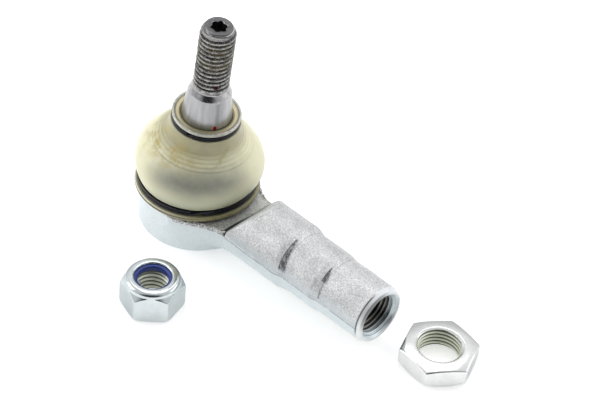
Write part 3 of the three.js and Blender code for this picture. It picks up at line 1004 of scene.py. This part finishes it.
def housing_field(x, y, z):
    head, radius = head_field(x, y, z)
    # Neck, an ellipse in section
    half = neck_half_width(x)
    depth = SHANK_Z - 0.05 - (SHANK_Z - SHANK_R[0]) * smoothstep(NECK_HEEL_X, NECK_END_X, x)
    up = z - SHANK_Z
    neck = (np.sqrt((y / half) ** 2 + (up / depth) ** 2) - 1) * np.minimum(half, depth)
    body = join_field(head, both(neck, x - NECK_END_X, -x), 3.0)
    # Trimming the flash left a ragged lip along the land's edges
    lip = np.exp(-(((body + 0.7) / 0.7) ** 2)) * smoothstep(9, 13, x)
    ragged = waves(x, y, 0, 1.3, 3) + 0.6 * waves(x, y, 0, 0.7, 4)
    lip = lip * (0.26 + 0.34 * ragged)
    side = 0.3 * ragged * smoothstep(15.2, 16.4, z) * smoothstep(9, 13, x)
    body = cut_field(body + side, z - HEAD_TOP - lip, 0.35)
    # Shank, cut back to the ramp above the land
    start = np.maximum(SHANK_FROM - x, -5)
    shank = cut_field(np.hypot(y, up) - shank_radius(x), start, 3.0)
    rise = np.array(RAMP_HEAD) - np.array(RAMP_FOOT)
    rise /= np.linalg.norm(rise)
    slope = (z - RAMP_FOOT[1]) * rise[0] - (x - RAMP_FOOT[0]) * rise[1]
    shank = cut_field(shank, slope, 1.4)
    body = join_field(body, shank, 0.35)
    # The dies met at the parting line, which stands out as a thin trimmed ridge
    ridge = np.exp(-(((z - PARTING_Z) / 0.40) ** 2)) * smoothstep(24, 30, x)
    ridge = ridge * smoothstep(4, 9, np.abs(y)) * (1 + 0.5 * waves(x, y, 0, 4, 5))
    body = body - 0.42 * ridge
    # Upsetting left each step slightly uneven
    uneven = 0.09 * waves(x, y, z, 11, 7) + 0.035 * waves(x, y, z, 3.1, 8)
    outside = smoothstep(12, 14, radius) * smoothstep(-0.2, 1.5, z)
    body = body + uneven * outside * smoothstep(SHANK_END, SHANK_END - 6, x)
    # Collar above the land
    collar = both(radius - COLLAR_R, np.abs(z - HEAD_TOP) - (COLLAR_TOP - HEAD_TOP))
    body = join_field(body, collar, 0.4)
    # Hollow for the ball and its seats
    from_ball = np.sqrt(radius**2 + (z - BALL[2]) ** 2) - CAVITY_R
    flare = LIP_R + (MOUTH_R - LIP_R) * np.clip((z - LIP_Z - 1) / (COLLAR_TOP - LIP_Z - 1), 0, 1.2)
    hollow = either(
        both(radius - CAVITY_R, z - BALL[2], COVER_POCKET_TOP - 1 - z),
        both(from_ball, z - LIP_Z),
        both(radius - flare, BALL[2] - z),
        both(radius - COVER_R - 0.3, z - COVER_POCKET_TOP, CRIMP_TOP - z),
        both(radius - CRIMP_R, z - CRIMP_TOP - 0.2),
    )
    body = cut_field(body, -hollow, 0.3)
    # Rod bore, and the forged surface's end, which the machined sleeve carries on
    bore = both(np.hypot(y, up) - ROD_THREAD[0] - 0.35, BORE_FROM - 1 - x)
    return both(body, -bore, x - FORGED_TO)


def on_trimmed_edge(points, faces):
    """Which faces lie on the ragged edge of the land."""
    x, y, z = points[np.array(faces)].mean(1).T
    from_edge = np.abs(np.abs(y) - neck_half_width(x)) + 0.5 * waves(x, y, z, 1.2, 6)
    near_top = np.abs(z - HEAD_TOP + 0.4) < 1.3
    return near_top & (from_edge < 1.25) & (x > 9) & (x < RAMP_FOOT[0] + 0.3)


def build_housing(forged, machined, flash):
    low, high = box_mm("housing")
    cell = HOUSING_CELL[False]
    points, faces = surface_net(housing_field, low, high, cell)
    end = (SHANK_R[2] - 1.1, SHANK_R[2], SHANK_END - FORGED_TO)
    sleeve_points, sleeve_faces = threaded_sleeve(
        ROD_THREAD, BORE_FROM, SHANK_END, BORE_MOUTH_R, ROD_THREAD[0] + 0.5, 1.0, end
    )
    all_points, all_faces = joined([(points, faces), (along_x(sleeve_points), sleeve_faces)])
    slots = np.ones(len(all_faces))
    slots[: len(faces)] = 2 * on_trimmed_edge(points, faces)
    piece = make_object("housing_forging", all_points, all_faces, [forged, machined, flash], slots)
    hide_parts("housing")
    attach(piece, "housing")


def build_cover(material):
    """The pressed cover plate, with its raised middle and a shallow ring round it."""
    line = rounded([
        (0.4, 0.02, 0), (4.5, 0.02, 0.5), (5.2, 0.35, 0.5), (6.8, 0.35, 0.5), (7.5, 0.02, 0.5),
        (10.6, 0.02, 0.6), (12, 0.9, 0.6), (COVER_R, 0.9, 0.2), (COVER_R, 2.6, 0.2),
        (11.4, 2.6, 0.6), (10, 1.7, 0.6), (0.4, 1.7, 0),
    ])
    start = int(np.argmin(line[:, 0] + 100 * (line[:, 1] > 1)))
    line = np.roll(line, -start, 0)
    line[line[:, 0] < 0.41, 0] = 0.4
    points, faces = turned(line, 96)
    piece = make_object("cover_pressing", points, faces, [material])
    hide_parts("cover_plate")
    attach(piece, "housing")


# ---------- stud ----------


def recess_outline(angle, grow=0.0):
    """Six rounded lobes with narrower hollows between them."""
    return RECESS_R + grow + RECESS_LOBE * (2 * np.abs(np.cos(3 * angle)) ** 1.5 - 1)


def build_stud(material):
    columns = 144
    angle = np.arange(columns) * TAU / columns
    neck_angle = math.acos(NECK_R / BALL_R)
    ball_angles = np.linspace(-math.radians(72), neck_angle, 40)
    ball = [(BALL_R * math.cos(a), BALL_R * math.sin(a)) for a in ball_angles]
    shaft = rounded_line([
        (NECK_R, ball[-1][1], 0), (NECK_R, FLARE[0], 3), (TAPER_R[0] + 0.1, FLARE[1], 2),
        (TAPER_R[0] + 0.1, TAPER[0] - 0.4, 0.1), (TAPER_R[0], TAPER[0], 0.2),
        (TAPER_R[1], TAPER[1], 0.5), (STUD_THREAD[0] - 0.12, THREAD[0], 0),
    ])
    rows = [*ball, *shaft]
    outer, inner, pitch = STUD_THREAD
    for s in np.arange(THREAD[0] + 0.05, TIP_AT - 0.12, 0.13):
        depth = thread_depth((s - pitch * angle / TAU) / pitch)
        run_out = smoothstep(0, 1.6, s - THREAD[0])
        tool_ridge = 0.05 * math.cos(TAU * s / 0.85)
        chamfer = TIP_R + (TIP_AT - s) * TIP_SLOPE + tool_ridge
        radius = outer - (outer - inner) * depth * run_out
        rows.append((np.minimum(radius, chamfer), s))
    foot = TIP_AT - RECESS_DEPTH
    rows += [(TIP_R - 0.02, TIP_AT - 0.03), (TIP_R - 0.15, TIP_AT)]
    rows.append((recess_outline(angle, 0.42), TIP_AT - 0.02))
    rows.append((recess_outline(angle, 0.12), TIP_AT - 0.28))
    rows += [(recess_outline(angle), s) for s in np.linspace(TIP_AT - 0.5, foot + 0.3, 8)]
    rows.append((recess_outline(angle, -0.25), foot + 0.05))
    rows.append((recess_outline(angle, -1.4), foot))
    rows.append((0.5, foot - 0.15))
    points, faces = turned(rows, columns, closed=False)
    piece = make_object("ball_stud_turned", on_stud(points), faces, [material])
    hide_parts("ball_stud")
    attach(piece, "stud")


# ---------- boot ----------


def boot_curve():
    """The boot's upright outline as dense points, with the distance run along it and at its seam."""
    t = np.linspace(0, 1, 500)[:, None]
    p0, p1, p2, p3 = (np.array(p, float) for p in BOOT_CURVE)
    line = (1 - t) ** 3 * p0 + 3 * t * (1 - t) ** 2 * p1 + 3 * t**2 * (1 - t) * p2 + t**3 * p3
    run = np.concatenate([[0], np.cumsum(np.linalg.norm(np.diff(line, axis=0), axis=1))])
    return line, run, run[np.argmin(np.abs(line[:, 1] - BOOT_SEAM_Z))]


def groove_heights():
    line, run, seam = boot_curve()
    return [float(np.interp(seam + k * BOOT_RING_GAP, run, line[:, 1])) for k in range(BOOT_RINGS)]


def boot_skin_line(inset, low, high):
    """Radius and height of the boot's skin between two heights, with moulding rings near its neck."""
    line, run, seam = boot_curve()
    slope = np.gradient(line, axis=0)
    slope /= np.linalg.norm(slope, axis=1)[:, None]
    out = np.stack([slope[:, 1], -slope[:, 0]], 1)
    fade_from = (BOOT_RINGS - 2) * BOOT_RING_GAP
    fading = smoothstep(-1.2, 0, run - seam) * smoothstep(fade_from + 4, fade_from, run - seam)
    rings = -BOOT_RING_DEPTH * np.cos((run - seam) * TAU / BOOT_RING_GAP) * fading
    offset = rings if inset == 0 else np.full(len(run), -inset)
    line = line + out * offset[:, None]
    line = line[(line[:, 1] >= low) & (line[:, 1] <= high)]
    gaps = np.concatenate([[0], np.cumsum(np.linalg.norm(np.diff(line, axis=0), axis=1))])
    even = np.linspace(0, gaps[-1], max(8, int(gaps[-1] / (0.16 if inset == 0 else 0.8))))
    return np.stack([np.interp(even, gaps, line[:, 0]), np.interp(even, gaps, line[:, 1])], 1)


def boot_points(outline, columns):
    points, faces = turned(outline, columns)
    share = smoothstep(*BOOT_LEAN_Z, points[:, 2])
    return points, leaned(points, share), faces


def build_boot(material):
    columns = 192
    foot_out = BOTTOM_CLIP_R[0] - 0.3
    foot_in = COLLAR_R + 0.25
    low_skin = boot_skin_line(0, BOOT_SKIN_Z[0], BOOT_SEAM_Z)
    inner_low = boot_skin_line(BOOT_WALL, BOOT_INNER_Z[0], BOOT_SEAM_Z)
    foot = rounded_line([
        (foot_in, FLANGE_Z[0], 0), (FLANGE_R - 0.15, FLANGE_Z[0], 0.5),
        (FLANGE_R, FLANGE_Z[1] - 0.5, 0.5), (FLANGE_R - 0.5, FLANGE_Z[1], 0.5),
        (foot_out, FLANGE_Z[1], 0.3), (foot_out, BOTTOM_CLIP_Z[1] + 0.12, 0.2),
        (low_skin[0, 0] - 0.15, 22.3, 0.2), (*low_skin[1], 0),
    ], 0.3)
    inner_foot = [(foot_in, 23.4), (foot_in, 21), (foot_in, 19)]
    low_line = np.array([*foot, *low_skin[2:], *inner_low[::-1], *inner_foot])
    upright, points, faces = boot_points(low_line, columns)
    # The flange's edge is finely ribbed
    x, y, z = upright.T
    rib = (z < FLANGE_Z[1] - 0.1) & (np.hypot(x, y) > FLANGE_R - 0.5)
    round_angle = np.arctan2(y, x)
    ribbed = 1 - 0.0022 * (0.5 + 0.5 * np.cos(round_angle * columns / 2))
    points[rib, :2] *= ribbed[rib, None]
    lower = make_object("boot_skin_lower", points, faces, [material])

    high_skin = boot_skin_line(0, BOOT_SEAM_Z, BOOT_SKIN_Z[1])
    inner_high = boot_skin_line(BOOT_WALL, BOOT_SEAM_Z, BOOT_INNER_Z[1])
    neck_out = TOP_CLIP_R[0] - 0.25
    bore = TAPER_R[0] + 0.35
    clip_low = BALL[2] + TOP_CLIP_AT[0] - 0.12
    lip_top = BALL[2] + RING_AT[0] + 0.62
    collar = rounded_line([
        (*high_skin[-1], 0), (BOOT_CURVE[3][0] - 0.2, clip_low - 0.05, 0.25),
        (neck_out, clip_low, 0.15), (neck_out, lip_top - 1.0, 0.1),
        (RING_R[0] - 0.12, lip_top - 0.8, 0.2), (RING_R[0] - 0.12, lip_top, 0.15),
        (bore, lip_top, 0.15), (bore, lip_top - 1.4, 0.3), (bore + 1.2, lip_top - 2.9, 0),
    ], 0.4)
    high_line = np.array([*high_skin, *collar[1:], *inner_high[::-1]])
    _, points, faces = boot_points(high_line, columns)
    upper = make_object("boot_skin_upper", points, faces, [material])

    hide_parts("dust_boot")
    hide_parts("dust_boot")
    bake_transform(lower)
    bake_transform(upper)


def coil(name, material, radii, heights, start, climb, place, body):
    """A clip of flat strip wound twice round. The second turn lies on the first, and start is the
    angle in degrees at which its cut end shows."""
    inner, outer = radii
    low, high = heights
    half_high = (high - low) / 4 - 0.02
    half_wide = (outer - inner) / 2
    section = rounded([
        (-half_wide, -half_high, 0.12), (half_wide, -half_high, 0.22),
        (half_wide, half_high, 0.22), (-half_wide, half_high, 0.12),
    ], 0.5)
    steps = 300
    travel = np.linspace(0, 2 * 360 - climb, steps)
    lift = smoothstep(360 - climb, 360, travel)
    centre_z = low + half_high + 0.02 + lift * (high - low) / 2
    centre_r = (inner + outer) / 2 - 0.10 * lift
    angle = np.radians(start + travel)
    rings = []
    for a, r, z in zip(angle, centre_r, centre_z):
        radius = r + section[:, 0]
        rings.append(np.stack([radius * np.cos(a), radius * np.sin(a), z + section[:, 1]], 1))
    count = len(section)
    points = np.vstack(rings)
    faces = grid_faces(steps, count, False)[:, ::-1].tolist()
    faces.append(list(range(count)))
    faces.append([(steps - 1) * count + i for i in range(count)][::-1])
    piece = make_object(name + "_strip", place(points), faces, [material])
    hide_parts(name)
    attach(piece, body)


def build_ring(material):
    low, high = RING_AT
    inner, outer = RING_R
    outline = rounded([
        (inner, low, 0.1), (outer - 0.1, low, 0.35), (outer, low + 0.3, 0.3), (outer, high, 0.3),
        (outer - 0.8, high, 0.3), (outer - 1.35, low + 0.75, 0.4), (inner, low + 0.72, 0.25),
    ], 0.35)
    points, faces = turned(outline, 144)
    piece = make_object("support_ring_pressed", on_stud(points), faces, [material])
    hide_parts("boot_support_ring")
    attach(piece, "boot_head")


# ---------- nuts ----------


def hex_field(x, y, z, flats, turn, height, cones, soft):
    """A hexagonal nut blank. cones holds a (radius, slope in degrees) pair for the cone that chamfers
    the corners at the top, and one for the foot."""
    facing = [math.radians(turn + 30) + k * TAU / 6 for k in range(6)]
    sides = [x * math.cos(a) + y * math.sin(a) - flats / 2 for a in facing]
    blank = sides[0]
    for side in sides[1:]:
        blank = cut_field(blank, side, 0.35)
    radius = np.hypot(x, y)
    for (start, degrees), past in zip(cones, (z - height, -z)):
        lean = math.radians(degrees)
        cone = (radius - start) * math.sin(lean) + past * math.cos(lean)
        blank = cut_field(blank, cone, soft)
    return cut_field(cut_field(blank, z - height, soft), -z, 0.15), radius


def nut_hole_field(radius, z, height, outer, mouth_r):
    """The hole behind a nut's threaded sleeve, countersunk at both ends."""
    sink = radius - mouth_r - SLEEVE_GAP + NUT_SINK_SLOPE * np.minimum(z, height - z)
    return either(radius - outer - SLEEVE_GAP, sink)


def lock_nut_field(x, y, z):
    blank, radius = hex_field(x, y, z, LOCK_FLATS, LOCK_TURN, LOCK_HEX_TOP, LOCK_CONES, 0.2)
    rim_r, rim_high = LOCK_COLLAR_R - LOCK_RIM_R, LOCK_TOP - LOCK_RIM_FROM
    out = np.maximum(radius - LOCK_RIM_R, 0) / rim_r
    up = np.maximum(z - LOCK_RIM_FROM, 0) / rim_high
    crown = (np.hypot(out, up) - 1) * rim_r
    body = join_field(blank, both(radius - LOCK_COLLAR_R, crown, 4 - z), 0.35)
    hole = nut_hole_field(radius, z, 99, LOCK_THREAD[0], LOCK_MOUTH_R)
    pocket = both(radius - NYLON_R - 0.12, np.abs(z - sum(NYLON_Z) / 2) - 1.4)
    throat = radius - NYLON_R + 0.75 - 0.2 * np.maximum(z - NYLON_Z[1], 0)
    return cut_field(body, -either(hole, pocket, both(throat, NYLON_Z[1] - z)), 0.5)


def jam_nut_field(x, y, z):
    blank, radius = hex_field(x, y, z, JAM_FLATS, JAM_TURN, JAM_TOP, JAM_CONES, NUT_EDGE)
    return both(blank, -nut_hole_field(radius, z, JAM_TOP, JAM_THREAD[0], JAM_MOUTH_R))


def on_floor(points, centre):
    return points + np.array([centre[0], centre[1], 0])


def build_nut(name, tones, field, centre, height, thread, mouth_r, sleeve_top, gap):
    """A plated nut. Its threaded sleeve ends this gap below sleeve_top."""
    zinc = bright_zinc(name + "_zinc", tones, centre, thread[0], mouth_r, sleeve_top)
    wall_r = mouth_r + SLEEVE_WALL
    sleeve = threaded_sleeve(thread, 0.02, sleeve_top - gap, mouth_r, wall_r, NUT_SINK_SLOPE)
    cell = NUT_CELL[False]
    low, high = box_mm(name)
    reach = (high - low) / 2
    body = surface_net(field, (-reach[0], -reach[1], 0), (reach[0], reach[1], height), cell)
    points, faces = joined([body, sleeve])
    piece = make_object(name + "_plated", on_floor(points, centre), faces, [zinc])
    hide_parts(name)
    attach(piece, name)


def build_nuts():
    build_nut("lock_nut", LOCK_TONES, lock_nut_field, LOCK_NUT_AT, LOCK_TOP, LOCK_THREAD,
              LOCK_MOUTH_R, NYLON_Z[0], 0.1)
    build_nut("jam_nut", JAM_TONES, jam_nut_field, JAM_NUT_AT, JAM_TOP, JAM_THREAD,
              JAM_MOUTH_R, JAM_TOP, 0.02)


def build_nylon(material):
    inner, outer = NYLON_HOLE_R + 0.02, NYLON_R - 0.05
    low, high = NYLON_Z[0] + 0.05, NYLON_Z[1] - 0.05
    corners = [(inner, low, 0.5), (outer, low, 0.2), (outer, high, 0.2), (inner, high, 0.9)]
    points, faces = turned(rounded(corners, 0.25), 96)
    piece = make_object("nylon_ring", on_floor(points, LOCK_NUT_AT), faces, [material])
    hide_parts("nylon_insert")
    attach(piece, "lock_nut")


# ---------- studio ----------


def build_floor(material):
    corners = [(-1, -1), (1, -1), (1, 1), (-1, 1)]
    points = [(x * FLOOR_HALF, y * FLOOR_HALF, -0.05) for x, y in corners]
    floor = make_object("floor", points, [[0, 1, 2, 3]], [material])


def area_light(name, place, aim, size, power, tint=(1, 1, 1)):
    light = bpy.data.lights.new(name, "AREA")
    light.shape = "RECTANGLE"
    light.size, light.size_y = (side * MM for side in size)
    light.energy = power
    light.color = tint
    lamp = bpy.data.objects.new(name, light)
    lamp.location = Vector(place) * MM
    direction = (Vector(aim) - Vector(place)).normalized()
    lamp.rotation_euler = direction.to_track_quat("-Z", "Y").to_euler()
    bpy.context.scene.collection.objects.link(lamp)


def build_sky():
    """A bright room, brightest at the back and dark on the photographer's side, so that the near side
    of each piece is shaded and bright metal has something to show."""
    world = bpy.data.worlds.new("studio")
    world.use_nodes = True
    bpy.context.scene.world = world
    nodes, links = world.node_tree.nodes, world.node_tree.links
    place = nodes.new("ShaderNodeTexCoord")
    facing = nodes.new("ShaderNodeVectorMath")
    facing.operation = "DOT_PRODUCT"
    facing.inputs[1].default_value = DARK_SIDE
    share = nodes.new("ShaderNodeMapRange")
    share.inputs["From Min"].default_value = -1.0
    shades = nodes.new("ShaderNodeValToRGB")
    shades.color_ramp.interpolation = "EASE"
    for at, level in SKY_SHADES:
        stop = shades.color_ramp.elements.new((at + 1) / 2)
        stop.color = (level, level, level * 1.02, 1)
    shades.color_ramp.elements.remove(shades.color_ramp.elements[0])
    shades.color_ramp.elements.remove(shades.color_ramp.elements[-1])
    links.new(place.outputs["Generated"], facing.inputs[0])
    links.new(facing.outputs["Value"], share.inputs["Value"])
    links.new(share.outputs[0], shades.inputs["Fac"])
    links.new(shades.outputs["Color"], nodes["Background"].inputs["Color"])


def build_lights():
    middle = (35, 0, 15)
    area_light("left", (-560, -480, 420), middle, (460, 420), 2.0)
    area_light("right", (560, 600, 430), middle, (620, 520), 0.9, (0.97, 0.985, 1.0))
    area_light("overhead", (-160, 260, 820), middle, (560, 560), 1.9)


def build_camera():
    azimuth, elevation = math.radians(CAMERA_AZIMUTH), math.radians(CAMERA_ELEVATION)
    right = Vector((math.cos(azimuth), math.sin(azimuth), 0))
    level = Vector((math.sin(azimuth), -math.cos(azimuth), 0))
    back = level * math.cos(elevation) + Vector((0, 0, math.sin(elevation)))
    up = back.cross(right)
    roll = math.radians(CAMERA_ROLL)
    tilted_right = right * math.cos(roll) + up * math.sin(roll)
    tilted_up = up * math.cos(roll) - right * math.sin(roll)
    turn = Matrix((tilted_right, tilted_up, back)).transposed().to_4x4()
    camera = bpy.data.cameras.new("camera")
    camera.sensor_width = 36
    camera.lens = CAMERA_LENS
    camera.clip_start = 0.01
    holder = bpy.data.objects.new("camera", camera)
    spot = (Vector(CAMERA_AIM) + back * CAMERA_AWAY) * MM
    holder.matrix_world = Matrix.Translation(spot) @ turn
    bpy.context.scene.collection.objects.link(holder)
    bpy.context.scene.camera = holder


def finish_hidden_nodes():
    """The pieces inside the housing keep their CAD shape and get their own materials."""
    acetal = hidden_finish("seat_acetal", (0.66, 0.62, 0.50), (0.78, 0.75, 0.64), 0.0, 0.4, 0.55)
    spring = hidden_finish("spring_oiled", (0.08, 0.08, 0.09), (0.22, 0.22, 0.23), 0.9, 0.3, 0.45)
    finishes = {"upper_ball_seat": acetal, "lower_ball_seat": acetal, "preload_spring": spring}
    for node, material in finishes.items():
        for slot in frame["nodes"][node].material_slots:
            slot.material = material


# ---------- assembly ----------

bpy.context.scene.view_settings.view_transform = "Standard"
build_camera()
build_sky()
build_lights()
build_floor(studio_floor())

black = clip_black()
build_housing(forged_zinc(), machined_zinc(), trimmed_flash())
build_cover(plated_pressing())
build_stud(stud_steel())
build_boot(boot_rubber())
coil("boot_bottom_clip", black, BOTTOM_CLIP_R, BOTTOM_CLIP_Z, -38, 12, np.asarray, "housing")
coil("boot_top_clip", black, TOP_CLIP_R, TOP_CLIP_AT, -68, 9, on_stud, "boot_head")
build_ring(ring_steel())
build_nuts()
build_nylon(blue_nylon())
finish_hidden_nodes()
